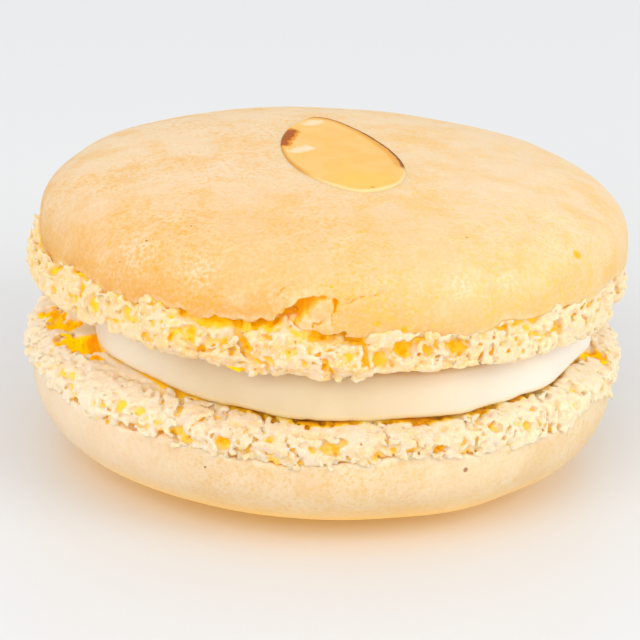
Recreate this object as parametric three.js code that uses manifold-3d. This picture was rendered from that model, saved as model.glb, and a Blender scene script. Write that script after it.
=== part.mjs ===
// French macaron, in millimetres, +Z up, front towards -Y, standing on the crown of its lower shell.
// Two baked almond-meringue shells hold a disc of cream, and a slice of almond is baked into the
// crown of the upper one. Each shell has a smooth thin crust and, round its flat side, a ruffled
// and torn crumb foot. Azimuths are in degrees from the front, growing towards +X.

import * as THREE from 'three';
import { mergeVertices } from 'three/addons/utils/BufferGeometryUtils.js';
import Module from 'manifold-3d';

// Whole macaron
const CREAM_THICKNESS = 3.6; // between the flat sides of the shells, at the middle
const UPPER_LEAN = 2.1; // degrees, the upper shell is open towards the front
const UPPER_ROLL = 0.6; // degrees, and a little towards its right side
const FIT_GAP = 0.3; // clearance round a piece that is pressed into its neighbour

// Upper shell. Heights are above its flat side.
const UPPER = {
  footRadius: 24.9,
  footTuck: 0.45, // how far the foot draws in at the flat side
  footTuckHeight: 0.9,
  crustRadius: 24.25,
  crustShift: 0.48, // the crust slid sideways on its foot
  crustBase: 3.4, // height where the dome starts
  domeHeight: 6.7,
  domeRoundness: 3.8, // superellipse power across
  domeFullness: 3.33, // superellipse power upwards
  crownRise: 0.32, // extra height in the middle
  crownRadius: 18,
  restHeight: Infinity,
  flatRadius: 22.3, // the flat side is level up to here
  seed: 11,
};

// Lower shell, upside down. Heights are below its flat side.
const LOWER = {
  footRadius: 24.9,
  footTuck: 2.3,
  footTuckHeight: 1.7,
  crustRadius: 24.3,
  crustShift: 0,
  crustBase: 2.8,
  domeHeight: 8.71,
  domeRoundness: 3.44,
  domeFullness: 2.91,
  crownRise: 0,
  crownRadius: 18,
  restHeight: 8.5, // the dome is flat from here on, where it stands
  flatRadius: 22.0,
  seed: 23,
};

// Torn lower edge of the crust, as [azimuth, height] from the left end to the right end
UPPER.crustEdge = [
  [-77, 2.7], [-64, 3.0], [-54, 3.5], [-39, 3.3], [-28, 3.6], [-24, 2.95], [-20, 3.6],
  [-9, 3.95], [0, 3.05], [8, 3.3], [20, 2.9], [29, 3.0], [36, 3.55], [53, 3.55], [70, 3.55],
];
LOWER.crustEdge = [
  [-56, 2.8], [-43, 2.9], [-24, 2.65], [-18, 3.25], [-2, 2.95], [14, 2.4],
  [32, 2.95], [43, 2.75], [52, 3.15], [65, 2.1],
];

// Ragged rim of the foot round the flat side, in the same way
UPPER.footRim = [
  [-58, 0.2], [-45, 0.13], [-30, -0.1], [-19, -0.12], [-13, -0.6], [-5, -0.2],
  [4, -0.6], [14, 0.5], [25, 0.4], [38, 0.12], [47, 0.36], [58, -0.05],
];
LOWER.footRim = [
  [-50, 0.1], [-30, 0.3], [-16, 0.45], [-4, 0.15], [14, 0.4], [33, 0.2], [50, 0.35], [64, 0.1],
];
const EDGE_WANDER = 0.4; // how far the crust's edge wanders round the back
const RIM_WANDER = 0.22; // and the foot's rim
const WANDER_STEP = 9; // degrees between the turns of that wandering

// Largest holes in the crumb, as [azimuth, height, width, height across]
UPPER.holes = [
  [-64, 3.1, 3.0, 1.6], [-48, 2.1, 1.6, 1.5], [-42.5, 3.2, 0.8, 1.3], [-38, 2.5, 1.5, 0.9],
  [-25, 2.0, 1.5, 1.4], [-16.5, 3.1, 3.0, 0.8], [-14, 1.9, 1.0, 2.0], [0.6, 0.8, 1.3, 0.7],
  [6, 2.7, 1.4, 0.9], [14.7, 2.3, 1.9, 1.6], [25, 2.0, 2.2, 1.5], [35, 3.1, 1.0, 0.8],
  [41, 2.7, 1.5, 1.3], [48, 2.5, 1.5, 1.3], [64, 2.9, 1.9, 1.2],
];
LOWER.holes = [
  [-56, 1.0, 2.2, 1.2], [-40.7, 1.1, 1.1, 1.5], [-25, 2.1, 2.2, 0.9], [-17, 2.0, 1.5, 1.0],
  [-8.3, 2.3, 1.3, 0.8], [2.2, 1.8, 1.2, 1.2], [14, 1.6, 1.2, 0.9], [22.4, 1.9, 1.6, 1.1],
  [34, 0.9, 1.3, 1.0], [43, 1.8, 1.4, 0.9], [57, 1.4, 1.6, 1.0],
];
const HOLE_DEPTH = 0.95;
const SMALL_HOLES = 95; // more holes in each foot, drawn at random
const SMALL_HOLE_WIDTH = [0.8, 1.7];
const SMALL_HOLE_DEPTH = [0.3, 0.75];
const LUMP_HEIGHT = 0.3; // crumb lumps stand this far out or in
const LUMP_WIDTH = 1.3;

// Chip in the crust over the front of the upper foot
const CHIP = { azimuth: -3.4, height: 5.0, halfWidth: 2.4, halfHeight: 1.3, depth: 0.7 };

// Cream
const CREAM = {
  centreX: 1.5,
  radiusX: 20.4,
  radiusY: 22.0,
  bulge: 0.45, // the side swells at half height
  flare: 0.8, // the lower edge spreads
  wave: 0.18, // uneven edge
  seed: 37,
};

// Almond slice. Its middle is given from the middle of the upper shell.
const ALMOND = {
  centreX: 0.37,
  centreY: 0.8,
  length: 21.4,
  left: { width: 4.6, point: 1.4, farTaper: 0.09 }, // half widths to either side of its long axis
  right: { width: 4.75, point: 1.0, farTaper: 0.3 },
  thickness: 1.15,
  turn: 10.9, // degrees, the far end points a little to the left
  pitch: -0.1, // degrees, the far end is a little lower
  stand: 0.1, // how far it stands above the crown at its middle
  edgeRound: 0.2,
};

const FOOT_BELOW_EDGE = 0.15; // the foot starts this far below the edge of the crust
const WALL_SHARE = 0.46; // part of the dome's height that stands as a wall over the foot
const SEAT_LIFT = 2; // the body that cuts the almond's seat reaches this far above the slice

// Points round a ring: fine at the torn foot, coarser towards the crown and the flat side
const FOOT_POINTS = 216;
const FOOT_ROWS = 6;
const CREAM_POINTS = 96;
const ALMOND_POINTS = 48;

const DEGREE = Math.PI / 180;

// Repeatable random numbers from 0 to 1
function drawer(seed) {
  let state = seed >>> 0;
  return () => {
    state = (state + 0x6d2b79f5) >>> 0;
    let mixed = Math.imul(state ^ (state >>> 15), 1 | state);
    mixed = (mixed + Math.imul(mixed ^ (mixed >>> 7), 61 | mixed)) ^ mixed;
    return ((mixed ^ (mixed >>> 14)) >>> 0) / 4294967296;
  };
}

const between = (low, high, share) => low + (high - low) * share;

const smoothStep = (share) => share * share * (3 - 2 * share);

// Smallest turn from one azimuth to another, in degrees
function turnBetween(from, to) {
  return ((to - from + 540) % 360) - 180;
}

// A line that runs through the given [azimuth, height] points and wanders on round the back
function closedLine(points, wander, seed) {
  const draw = drawer(seed);
  const mean = points.reduce((sum, point) => sum + point[1], 0) / points.length;
  const last = points[points.length - 1][0];
  const free = 360 - (last - points[0][0]);
  const steps = Math.floor(free / WANDER_STEP);
  const knots = [...points];
  for (let step = 1; step < steps; step++) {
    const height = mean + wander * (2 * draw() - 1);
    knots.push([last + (free * step) / steps, height]);
  }
  knots.push([points[0][0] + 360, points[0][1]]);
  return (azimuth) => {
    const start = points[0][0];
    const along = start + ((((azimuth - start) % 360) + 360) % 360);
    const next = knots.findIndex((knot) => knot[0] > along);
    const [fromAzimuth, fromHeight] = knots[next - 1];
    const [toAzimuth, toHeight] = knots[next];
    const share = (along - fromAzimuth) / (toAzimuth - fromAzimuth);
    return between(fromHeight, toHeight, smoothStep(share));
  };
}

// Rounded lumps, from -1 to 1, over a band that closes on itself round the foot
function lumpField(radius, seed) {
  const draw = drawer(seed);
  const columns = Math.round((2 * Math.PI * radius) / LUMP_WIDTH);
  const rows = 8;
  const heights = Array.from({ length: rows * columns }, () => 2 * draw() - 1);
  const at = (row, column) => heights[Math.min(row, rows - 1) * columns + (column % columns)];
  return (azimuth, height) => {
    const across = ((((azimuth % 360) + 360) % 360) / 360) * columns;
    const up = Math.max(0, height / LUMP_WIDTH + 1);
    const column = Math.floor(across) % columns;
    const row = Math.floor(up);
    const sideShare = smoothStep(across - Math.floor(across));
    const upShare = smoothStep(up - row);
    const lower = between(at(row, column), at(row, column + 1), sideShare);
    const upper = between(at(row + 1, column), at(row + 1, column + 1), sideShare);
    return between(lower, upper, upShare);
  };
}

// Every hole in a foot: the large ones that are given and the small ones that are drawn
function footHoles(shell) {
  const draw = drawer(shell.seed + 1);
  const holes = shell.holes.map(([azimuth, height, width, tall]) => (
    { azimuth, height, halfWidth: width / 2, halfHeight: tall / 2, depth: HOLE_DEPTH }
  ));
  for (let count = 0; count < SMALL_HOLES; count++) {
    const size = between(...SMALL_HOLE_WIDTH, draw());
    holes.push({
      azimuth: 360 * draw(),
      height: between(0.5, shell.crustBase - 0.4, draw()),
      halfWidth: size / 2,
      halfHeight: (size * between(0.6, 1.0, draw())) / 2,
      depth: between(...SMALL_HOLE_DEPTH, draw()),
    });
  }
  return holes;
}

// How deep a hole is at a place, from a flat bottom to a steep round wall
function holeDepth(hole, azimuth, height, radius) {
  const across = (turnBetween(hole.azimuth, azimuth) * DEGREE * radius) / hole.halfWidth;
  const up = (height - hole.height) / hole.halfHeight;
  const distance = Math.hypot(across, up);
  return hole.depth * smoothStep(THREE.MathUtils.clamp(1.5 - distance, 0, 1));
}

// Radius of the dome at a height above its base
function domeRadius(shell, height) {
  const share = THREE.MathUtils.clamp(height / shell.domeHeight, 0, 1);
  return shell.crustRadius * (1 - share ** shell.domeFullness) ** (1 / shell.domeRoundness);
}

// Height of the dome above its base at a radius
function domeHeight(shell, radius) {
  const share = radius / shell.crustRadius;
  const full = shell.domeHeight * (1 - share ** shell.domeRoundness) ** (1 / shell.domeFullness);
  const crown = shell.crownRise * Math.max(0, 1 - (radius / shell.crownRadius) ** 2);
  return Math.min(full, shell.restHeight) + crown;
}

// Radius of the foot before its crumb: it draws in towards the flat side
function footRadius(shell, height) {
  const tuck = Math.max(0, 1 - height / shell.footTuckHeight);
  return shell.footRadius - shell.footTuck * tuck * tuck;
}

// A ring of points from a function that gives radius and height at an azimuth
function ring(count, place, shiftX = 0) {
  return Array.from({ length: count }, (_, index) => {
    const azimuth = (360 * index) / count;
    const [radius, height] = place(azimuth);
    const angle = azimuth * DEGREE;
    return [shiftX + radius * Math.sin(angle), -radius * Math.cos(angle), height];
  });
}

// Closed solid from rings listed downwards between two poles. A ring has as many points as the
// one before it, twice as many or half as many.
function loft(topPole, rings, bottomPole) {
  const points = [topPole, ...rings.flat(), bottomPole];
  const faces = [];
  const starts = [];
  rings.reduce((start, points) => (starts.push(start), start + points.length), 1);
  const index = (level, place) => starts[level] + (place % rings[level].length);
  for (let place = 0; place < rings[0].length; place++) {
    faces.push([0, index(0, place), index(0, place + 1)]);
  }
  for (let level = 0; level < rings.length - 1; level++) {
    const above = (place) => index(level, place);
    const below = (place) => index(level + 1, place);
    const upperCount = rings[level].length;
    const lowerCount = rings[level + 1].length;
    for (let place = 0; place < Math.min(upperCount, lowerCount); place++) {
      if (upperCount === lowerCount) {
        faces.push([above(place), below(place), below(place + 1)]);
        faces.push([above(place), below(place + 1), above(place + 1)]);
      } else if (upperCount < lowerCount) {
        faces.push([above(place), below(2 * place), below(2 * place + 1)]);
        faces.push([above(place), below(2 * place + 1), above(place + 1)]);
        faces.push([above(place + 1), below(2 * place + 1), below(2 * place + 2)]);
      } else {
        faces.push([above(2 * place), below(place), above(2 * place + 1)]);
        faces.push([above(2 * place + 1), below(place), below(place + 1)]);
        faces.push([above(2 * place + 1), below(place + 1), above(2 * place + 2)]);
      }
    }
  }
  const lastLevel = rings.length - 1;
  const end = points.length - 1;
  for (let place = 0; place < rings[lastLevel].length; place++) {
    faces.push([index(lastLevel, place), end, index(lastLevel, place + 1)]);
  }
  const geometry = new THREE.BufferGeometry();
  geometry.setAttribute('position', new THREE.Float32BufferAttribute(points.flat(), 3));
  geometry.setIndex(faces.flat());
  return geometry;
}

// One shell with its flat side on z = 0 and its dome upwards
function shellGeometry(shell, chip) {
  const crustEdge = closedLine(shell.crustEdge, EDGE_WANDER, shell.seed + 2);
  const footRim = closedLine(shell.footRim, RIM_WANDER, shell.seed + 3);
  const lumps = lumpField(shell.footRadius, shell.seed + 4);
  const holes = footHoles(shell);
  const chipDepth = (azimuth, height) => {
    return chip ? holeDepth(chip, azimuth, height, shell.crustRadius) : 0;
  };
  const dome = (sideways) => (azimuth) => {
    const radius = shell.crustRadius * sideways;
    const height = shell.crustBase + domeHeight(shell, radius);
    return [radius - chipDepth(azimuth, height), height];
  };
  const wall = (share) => (azimuth) => {
    const base = crustEdge(azimuth);
    const height = between(base, shell.crustBase + WALL_SHARE * shell.domeHeight, share);
    const radius = domeRadius(shell, height - shell.crustBase);
    return [radius - chipDepth(azimuth, height), height];
  };
  const foot = (share) => (azimuth) => {
    const top = crustEdge(azimuth) - FOOT_BELOW_EDGE;
    const height = between(footRim(azimuth), top, share);
    const lumpRise = LUMP_HEIGHT * lumps(azimuth, height);
    const depth = Math.max(...holes.map((hole) => holeDepth(hole, azimuth, height, shell.footRadius)));
    return [footRadius(shell, height) + lumpRise - depth, height];
  };
  const rings = [
    ring(FOOT_POINTS / 8, dome(0.2), shell.crustShift),
    ring(FOOT_POINTS / 8, dome(0.42), shell.crustShift),
    ring(FOOT_POINTS / 4, dome(0.6), shell.crustShift),
    ring(FOOT_POINTS / 4, dome(0.74), shell.crustShift),
    ring(FOOT_POINTS / 4, dome(0.84), shell.crustShift),
    ring(FOOT_POINTS / 2, dome(0.91), shell.crustShift),
    ring(FOOT_POINTS / 2, dome(0.955), shell.crustShift),
    ring(FOOT_POINTS / 2, wall(1), shell.crustShift),
    ring(FOOT_POINTS / 2, wall(0.6), shell.crustShift),
    ring(FOOT_POINTS, wall(0.3), shell.crustShift),
    ring(FOOT_POINTS, wall(0), shell.crustShift),
  ];
  for (let row = FOOT_ROWS; row >= 0; row--) {
    rings.push(ring(FOOT_POINTS, foot(row / FOOT_ROWS)));
  }
  rings.push(ring(FOOT_POINTS / 2, () => [shell.flatRadius, 0]));
  rings.push(ring(FOOT_POINTS / 4, () => [0.75 * shell.flatRadius, 0]));
  rings.push(ring(FOOT_POINTS / 8, () => [0.4 * shell.flatRadius, 0]));
  const crown = shell.crustBase + domeHeight(shell, 0);
  return loft([shell.crustShift, 0, crown], rings, [0, 0, 0]);
}

// Height of the upper shell's flat side over the middle of the lower one's
function upperFlatSide(x, y) {
  return CREAM_THICKNESS - y * Math.tan(UPPER_LEAN * DEGREE) - x * Math.tan(UPPER_ROLL * DEGREE);
}

// The cream, from the lower shell's flat side up to the leaning upper shell
function creamGeometry() {
  const draw = drawer(CREAM.seed);
  const waves = [3, 5, 8, 13].map((turns) => ({ turns, start: 360 * draw(), size: draw() }));
  const uneven = (azimuth) => waves.reduce((sum, wave) => {
    return sum + wave.size * Math.cos((wave.turns * azimuth + wave.start) * DEGREE);
  }, 0);
  const level = (share, outward, inward = 1) => ring(CREAM_POINTS * (inward < 1 ? 0.5 : 1), (azimuth) => {
    const angle = azimuth * DEGREE;
    const oval = Math.hypot(Math.sin(angle) / CREAM.radiusX, Math.cos(angle) / CREAM.radiusY);
    const spread = outward + CREAM.flare * (1 - share) ** 2;
    const radius = (1 / oval + spread + CREAM.wave * uneven(azimuth)) * inward;
    const x = CREAM.centreX + radius * Math.sin(angle);
    const y = -radius * Math.cos(angle);
    return [radius, share * (upperFlatSide(x, y) - FIT_GAP)];
  }, CREAM.centreX);
  const top = upperFlatSide(CREAM.centreX, 0) - FIT_GAP;
  const rings = [
    level(1, -0.6, 0.5),
    level(1, -0.35),
    level(0.93, 0),
    level(0.7, 0.8 * CREAM.bulge),
    level(0.45, CREAM.bulge),
    level(0.2, 0.7 * CREAM.bulge),
    level(0, 0),
    level(0, -0.6, 0.5),
  ];
  return loft([CREAM.centreX, 0, top], rings, [CREAM.centreX, 0, 0]);
}

// The almond slice, its middle on the origin and its long side along y. Extra size all round
// and extra height make the body that clears its seat in the crust.
function almondGeometry(extra, lift) {
  const halfLength = ALMOND.length / 2 + extra;
  const level = (height, inset) => Array.from({ length: ALMOND_POINTS }, (_, index) => {
    const angle = (2 * Math.PI * index) / ALMOND_POINTS;
    const along = -Math.cos(angle);
    const across = Math.sin(angle);
    const side = across > 0 ? ALMOND.right : ALMOND.left;
    const share = Math.sign(across) * Math.abs(across) ** side.point * (1 - side.farTaper * along);
    return [share * (side.width + extra - inset), along * (halfLength - inset), height];
  });
  const top = ALMOND.thickness / 2 + lift;
  const bottom = -ALMOND.thickness / 2 - extra;
  const soft = ALMOND.edgeRound;
  const rings = [
    level(top, 2.5 * soft),
    level(top - 0.3 * soft, soft),
    level(top - soft, 0.3 * soft),
    level(top - 1.8 * soft, 0),
    level(bottom + 1.2 * soft, 0),
    level(bottom, 1.2 * soft),
  ];
  return loft([0, 0, top], rings, [0, 0, bottom]);
}

// Place of the almond slice in the upper shell
function seatAlmond(object) {
  const radius = Math.hypot(ALMOND.centreX - UPPER.crustShift, ALMOND.centreY);
  const crown = UPPER.crustBase + domeHeight(UPPER, radius);
  object.position.set(ALMOND.centreX, ALMOND.centreY, crown + ALMOND.stand - ALMOND.thickness / 2);
  object.rotation.set(ALMOND.pitch * DEGREE, 0, ALMOND.turn * DEGREE);
  object.updateMatrix();
  return object;
}

// Solid for cutting, from a closed geometry
function toSolid(geometry) {
  const merged = mergeVertices(geometry);
  return new wasm.Manifold(new wasm.Mesh({
    numProp: 3,
    vertProperties: merged.attributes.position.array,
    triVerts: Uint32Array.from(merged.index.array),
  }));
}

function toGeometry(solid) {
  const mesh = solid.getMesh();
  const geometry = new THREE.BufferGeometry();
  geometry.setAttribute('position', new THREE.BufferAttribute(mesh.vertProperties, 3));
  geometry.setIndex(new THREE.BufferAttribute(mesh.triVerts, 1));
  return geometry;
}

function piece(name, geometry, colour, roughness) {
  const material = new THREE.MeshStandardMaterial({ color: colour, roughness, metalness: 0 });
  const mesh = new THREE.Mesh(geometry, material);
  mesh.name = name;
  return mesh;
}

const wasm = await Module();
wasm.setup();

const CRUST_COLOUR = 0xfcd294;
const CREAM_COLOUR = 0xf9f0dc;
const ALMOND_COLOUR = 0xfcd08a;

// Lower shell, turned over so that its crown is the rest and its flat side is on top
const lowerHeight = LOWER.crustBase + LOWER.restHeight;
const shellBottom = piece('shell_bottom', shellGeometry(LOWER), CRUST_COLOUR, 0.75);
shellBottom.scale.z = -1;
shellBottom.position.z = lowerHeight;

const filling = piece('filling', creamGeometry(), CREAM_COLOUR, 0.45);
filling.position.z = lowerHeight;

// Upper shell with a seat for the almond slice
const seatCutter = seatAlmond(new THREE.Mesh(almondGeometry(FIT_GAP, SEAT_LIFT)));
const seat = seatCutter.geometry.applyMatrix4(seatCutter.matrix);
const upperBody = toSolid(shellGeometry(UPPER, CHIP)).subtract(toSolid(seat));
const shellTop = piece('shell_top', toGeometry(upperBody), CRUST_COLOUR, 0.75);
const almondSlice = seatAlmond(piece('almond_slice', almondGeometry(0, 0), ALMOND_COLOUR, 0.4));

const upper = new THREE.Group();
upper.add(shellTop, almondSlice);
upper.position.z = lowerHeight + CREAM_THICKNESS;
upper.rotation.set(-UPPER_LEAN * DEGREE, UPPER_ROLL * DEGREE, 0);

// The middle of the whole macaron's box goes over the origin
const group = new THREE.Group();
group.add(shellBottom, filling, upper);
const middle = new THREE.Box3().setFromObject(group, true).getCenter(new THREE.Vector3());
group.position.set(-middle.x, -middle.y, 0);

export default group;
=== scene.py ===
import math

import bpy
import numpy as np
import openvdb
from mathutils import Matrix, Vector, noise


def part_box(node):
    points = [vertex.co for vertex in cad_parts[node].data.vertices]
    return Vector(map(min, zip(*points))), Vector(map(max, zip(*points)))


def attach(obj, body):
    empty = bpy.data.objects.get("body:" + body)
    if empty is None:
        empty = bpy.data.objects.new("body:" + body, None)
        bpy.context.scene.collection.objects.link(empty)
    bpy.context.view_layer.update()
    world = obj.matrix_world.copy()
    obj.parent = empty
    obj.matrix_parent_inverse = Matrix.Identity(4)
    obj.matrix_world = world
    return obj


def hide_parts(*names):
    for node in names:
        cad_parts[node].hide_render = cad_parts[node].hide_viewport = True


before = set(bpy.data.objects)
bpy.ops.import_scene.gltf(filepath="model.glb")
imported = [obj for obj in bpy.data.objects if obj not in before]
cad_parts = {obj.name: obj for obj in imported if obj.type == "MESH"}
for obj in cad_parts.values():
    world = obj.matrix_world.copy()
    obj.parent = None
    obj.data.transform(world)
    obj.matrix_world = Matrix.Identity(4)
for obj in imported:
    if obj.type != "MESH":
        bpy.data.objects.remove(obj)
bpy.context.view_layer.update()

# The view. A close camera a little above the macaron looks at its front, and is held a little
# askew, so that the left side stands higher in the frame.
MM = 0.001
VIEW_DISTANCE = 280 * MM
VIEW_RISE = math.radians(21.1)
VIEW_ROLL = math.radians(2.56)
LENS = 188.5
SENSOR = 36
OFF_CENTRE = (-0.0062, -0.0069)
flat_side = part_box("filling")[0][2] / MM  # height of the lower shell's flat side

camera = bpy.data.objects.new("view", bpy.data.cameras.new("view"))
camera.data.lens = LENS
camera.data.sensor_width = SENSOR
camera.data.clip_start = 10 * MM
camera.data.shift_x, camera.data.shift_y = OFF_CENTRE
aim = Vector((0, 0, flat_side * MM))
away = Vector((0, -math.cos(VIEW_RISE), math.sin(VIEW_RISE)))
turn = Matrix.Rotation(math.pi / 2 - VIEW_RISE, 4, "X") @ Matrix.Rotation(VIEW_ROLL, 4, "Z")
camera.matrix_world = Matrix.Translation(aim + VIEW_DISTANCE * away) @ turn
bpy.context.scene.collection.objects.link(camera)
bpy.context.scene.camera = camera


# The two shells. Piped rounds of almond meringue, baked until a thin smooth crust lifts off the
# tray on a ruffled foot. Where foot and crust have torn, the open crumb shows: pale lumps with
# golden hollows between them. Sizes are in millimetres from the flat side of each shell.
VOXEL = 0.14
REACH = 25.5  # half the width of the block of voxels
CRUST_FACES = 100000
FOOT_FACES = 190000
EDGE_WANDER = 0.4  # how far the crust's edge and the foot's rim and gape stray round the back
RIM_WANDER = 0.22
GAPE_WANDER = 0.2
WANDER_STEP = 9
CRUST_WAVE = 0.05
CALM_CROWN = (11, 16)  # the waves in the crust begin between these radii, outside the almond
LIP = 0.2  # how round the edge of the crust is
FOOT_TOP = 5.6  # the torn crumb lies below this height
FOOT_INSIDE = 17  # the cream hides the shell further in than this
FOOT_INSET = 0.1  # the wall lies back by this, because lumps stand out from it
WIDEST = 24.98  # no crumb stands out further than this
TORN_FROM = (20.5, 21.5)  # the crumb turns ragged between these radii
LUMPS = ((2.9, 0.16, 0.4), (1.1, 0.0, 0.2))  # spacing of the lumps, width and depth of their seams
LUMPS_FROM, LUMPS_TO = 22.4, 25.1  # radii between which lumps are set
HOLE_DEPTH = 1.15
SMALL_HOLES = 95
PORES = ((120, 0.16, 0.34), (500, 0.1, 0.18))  # how many, and their smallest and largest radius
CHIP_REACH = -20  # the chip, the flake and the cracks lie further forward than this

UPPER = dict(
    foot_radius=24.9, foot_tuck=0.45, foot_tuck_height=0.9,
    crust_radius=24.25, crust_shift=0.48, crust_base=3.4,
    dome_height=6.7, roundness=3.8, fullness=3.33, crown_rise=0.32, crown_radius=18, rest=99,
    flat_radius=22.3, teeth=0.1, calm_rim=0.65, pale_ledge=0, seed=11,
    # The torn edge of the crust, as azimuth and height
    edge=[(-77, 2.7), (-64, 3.0), (-54, 3.5), (-39, 3.3), (-28, 3.6), (-24, 2.95), (-20, 3.6),
          (-9, 3.95), (0, 3.05), (8, 3.3), (20, 2.9), (29, 3.0), (36, 3.55), (53, 3.55), (70, 3.55)],
    # How deep the crumb lies behind that edge, and the height of the foot's lower rim
    gape=[(-77, 0.3), (-64, 0.6), (-50, 0.7), (-45, 0.3), (-40, 0.9), (-31, 0.7), (-25, 1.0),
          (-19, 1.7), (-11, 1.5), (-4, 0.9), (4, 1.2), (9, 0.3), (30, 0.2), (36, 0.45), (50, 0.25),
          (66, 0.1)],
    rim=[(-58, 0.2), (-45, 0.13), (-30, -0.1), (-19, -0.12), (-13, -0.6), (-5, -0.2),
         (4, -0.6), (14, 0.5), (25, 0.4), (38, 0.12), (47, 0.36), (58, -0.05)],
    # Holes in the foot as azimuth, level, width and height
    holes=[(-64, 3.1, 3.0, 1.6), (-48, 2.1, 1.6, 1.5), (-42.5, 3.2, 0.8, 1.3), (-38, 2.5, 1.5, 0.9),
           (-25, 2.0, 1.5, 1.4), (-16.5, 3.1, 3.0, 0.8), (-14, 1.9, 1.0, 2.0), (0.6, 0.8, 1.3, 0.7),
           (6, 2.7, 1.4, 0.9), (14.7, 2.3, 1.9, 1.6), (25, 2.0, 2.2, 1.5), (35, 3.1, 1.0, 0.8),
           (41, 2.7, 1.5, 1.3), (48, 2.5, 1.5, 1.3), (64, 2.9, 1.9, 1.2)],
    # Caves beside the cream as azimuth, radius, half width, level and half height
    caves=[(-16.4, 24.2, 1.0, -0.6, 0.45)],
    # The chip in the crust over the front and its loose flake, as x and height
    chip=[(-3.9, 4.3), (-3.2, 4.95), (-2.25, 5.8), (-2.15, 6.0), (-1.3, 6.15), (-0.4, 6.2),
          (0.05, 6.0), (-0.55, 5.7), (-1.1, 5.15), (-1.4, 4.65), (-1.85, 4.15), (-2.2, 3.75),
          (-3.05, 3.65), (-3.7, 3.9)],
    flake=[(-0.45, 5.8), (0.55, 5.95), (0.75, 5.75), (0.65, 5.1), (0.55, 4.3), (0.3, 4.0),
           (-0.2, 4.3), (-0.85, 4.3), (-0.95, 3.85), (-1.1, 3.5), (-1.7, 3.4), (-2.1, 3.8),
           (-1.5, 4.5), (-1.4, 5.05), (-1.0, 5.5)],
    # Cracks as a path and half width, then round marks as x, height and radius
    cracks=[([(0.7, 5.85), (0.82, 5.6), (0.77, 5.2), (0.55, 4.7), (0.6, 4.1)], 0.09),
            ([(-2.3, 3.8), (-1.8, 3.35), (-1.55, 3.2), (-1.05, 3.3), (-0.5, 3.27), (0.1, 3.0),
              (1.1, 3.2), (1.6, 3.4)], 0.13),
            ([(-0.85, 3.8), (-0.77, 4.15), (-0.4, 4.05), (0.0, 4.35)], 0.07),
            ([(0.05, 6.1), (0.5, 6.1), (0.95, 5.8), (1.85, 5.9), (2.4, 6.15), (2.9, 6.35),
              (3.4, 6.35), (3.85, 6.45), (4.85, 6.8)], 0.045),
            ([(-3.65, 6.0), (-3.4, 6.4), (-3.05, 6.7), (-2.7, 6.85), (-2.4, 6.95)], 0.05),
            ([(-1.5, 5.0), (-1.2, 4.6)], 0.06)],
    pinholes=[(19.65, 7.2, 0.45), (-17.15, 6.85, 0.2), (-15.45, 7.55, 0.15), (6.1, 3.8, 0.3),
              (4.1, 4.3, 0.25), (8.4, 6.15, 0.12), (5.3, 5.75, 0.12), (0.4, 6.9, 0.15)],
    specks=[(-10.7, 8.9, 0.12), (-14.1, 7.75, 0.14), (-16.15, 5.9, 0.13), (10.7, 9.1, 0.12),
            (5.4, 5.1, 0.09)],
    pale_spots=[(-14.8, 7.0, 2.9), (-9.9, 6.9, 2.7), (10.2, 6.8, 1.9), (13.7, 6.9, 1.5)],
)
LOWER = dict(
    foot_radius=24.9, foot_tuck=2.3, foot_tuck_height=1.7,
    crust_radius=24.3, crust_shift=0, crust_base=2.8,
    dome_height=8.71, roundness=3.44, fullness=2.91, crown_rise=0, crown_radius=18, rest=8.5,
    flat_radius=22.0, teeth=0.35, calm_rim=0.15, pale_ledge=0.11, seed=23,
    gape=[(-60, 0.1), (-40, 0.25), (-20, 0.1), (0, 0.2), (20, 0.1), (40, 0.2), (60, 0.1)],
    edge=[(-56, 2.8), (-43, 2.9), (-24, 2.65), (-18, 3.25), (-2, 2.95), (14, 2.4),
          (32, 2.95), (43, 2.75), (52, 3.15), (65, 2.1)],
    rim=[(-50, 0.1), (-30, 0.3), (-16, 0.45), (-4, 0.15), (14, 0.4), (33, 0.2), (50, 0.35), (64, 0.1)],
    holes=[(-56, 1.0, 2.2, 1.2), (-40.7, 1.1, 1.1, 1.5), (-25, 2.1, 2.2, 0.9), (-17, 2.0, 1.5, 1.0),
           (-8.3, 2.3, 1.3, 0.8), (2.2, 1.8, 1.2, 1.2), (14, 1.6, 1.2, 0.9), (22.4, 1.9, 1.6, 1.1),
           (34, 0.9, 1.3, 1.0), (43, 1.8, 1.4, 0.9), (57, 1.4, 1.6, 1.0)],
    caves=[(-65.5, 20.9, 1.7, 0, 1.2), (-70, 22.1, 1.2, 0, 1.2), (-80, 21.7, 1.5, 0, 1.2),
           (-87, 22.6, 1.2, 0, 1.2), (78, 22.7, 1.4, 0, 1.2), (-58, 21.3, 0.6, 0, 1.2)],
    chip=None, cracks=[], pinholes=[(-16.75, 2.95, 0.3)],
    specks=[(-8.7, 4.3, 0.14), (11.6, 4.15, 0.28), (14.1, 8.2, 0.12)], pale_spots=[],
)


def drawer(seed):
    """Repeatable random numbers from 0 to 1, the same ones that the solids are made with."""
    word = 0xFFFFFFFF
    state = seed
    while True:
        state = (state + 0x6D2B79F5) & word
        mixed = ((state ^ (state >> 15)) * (1 | state)) & word
        mixed = ((mixed + (((mixed ^ (mixed >> 7)) * (61 | mixed)) & word)) & word) ^ mixed
        yield (mixed ^ (mixed >> 14)) / 4294967296


def smooth(low, high, values):
    """Rises from 0 at the low value to 1 at the high one, and stays level outside them."""
    share = np.clip((values - low) / (high - low), 0, 1)
    return share * share * (3 - 2 * share)


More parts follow.
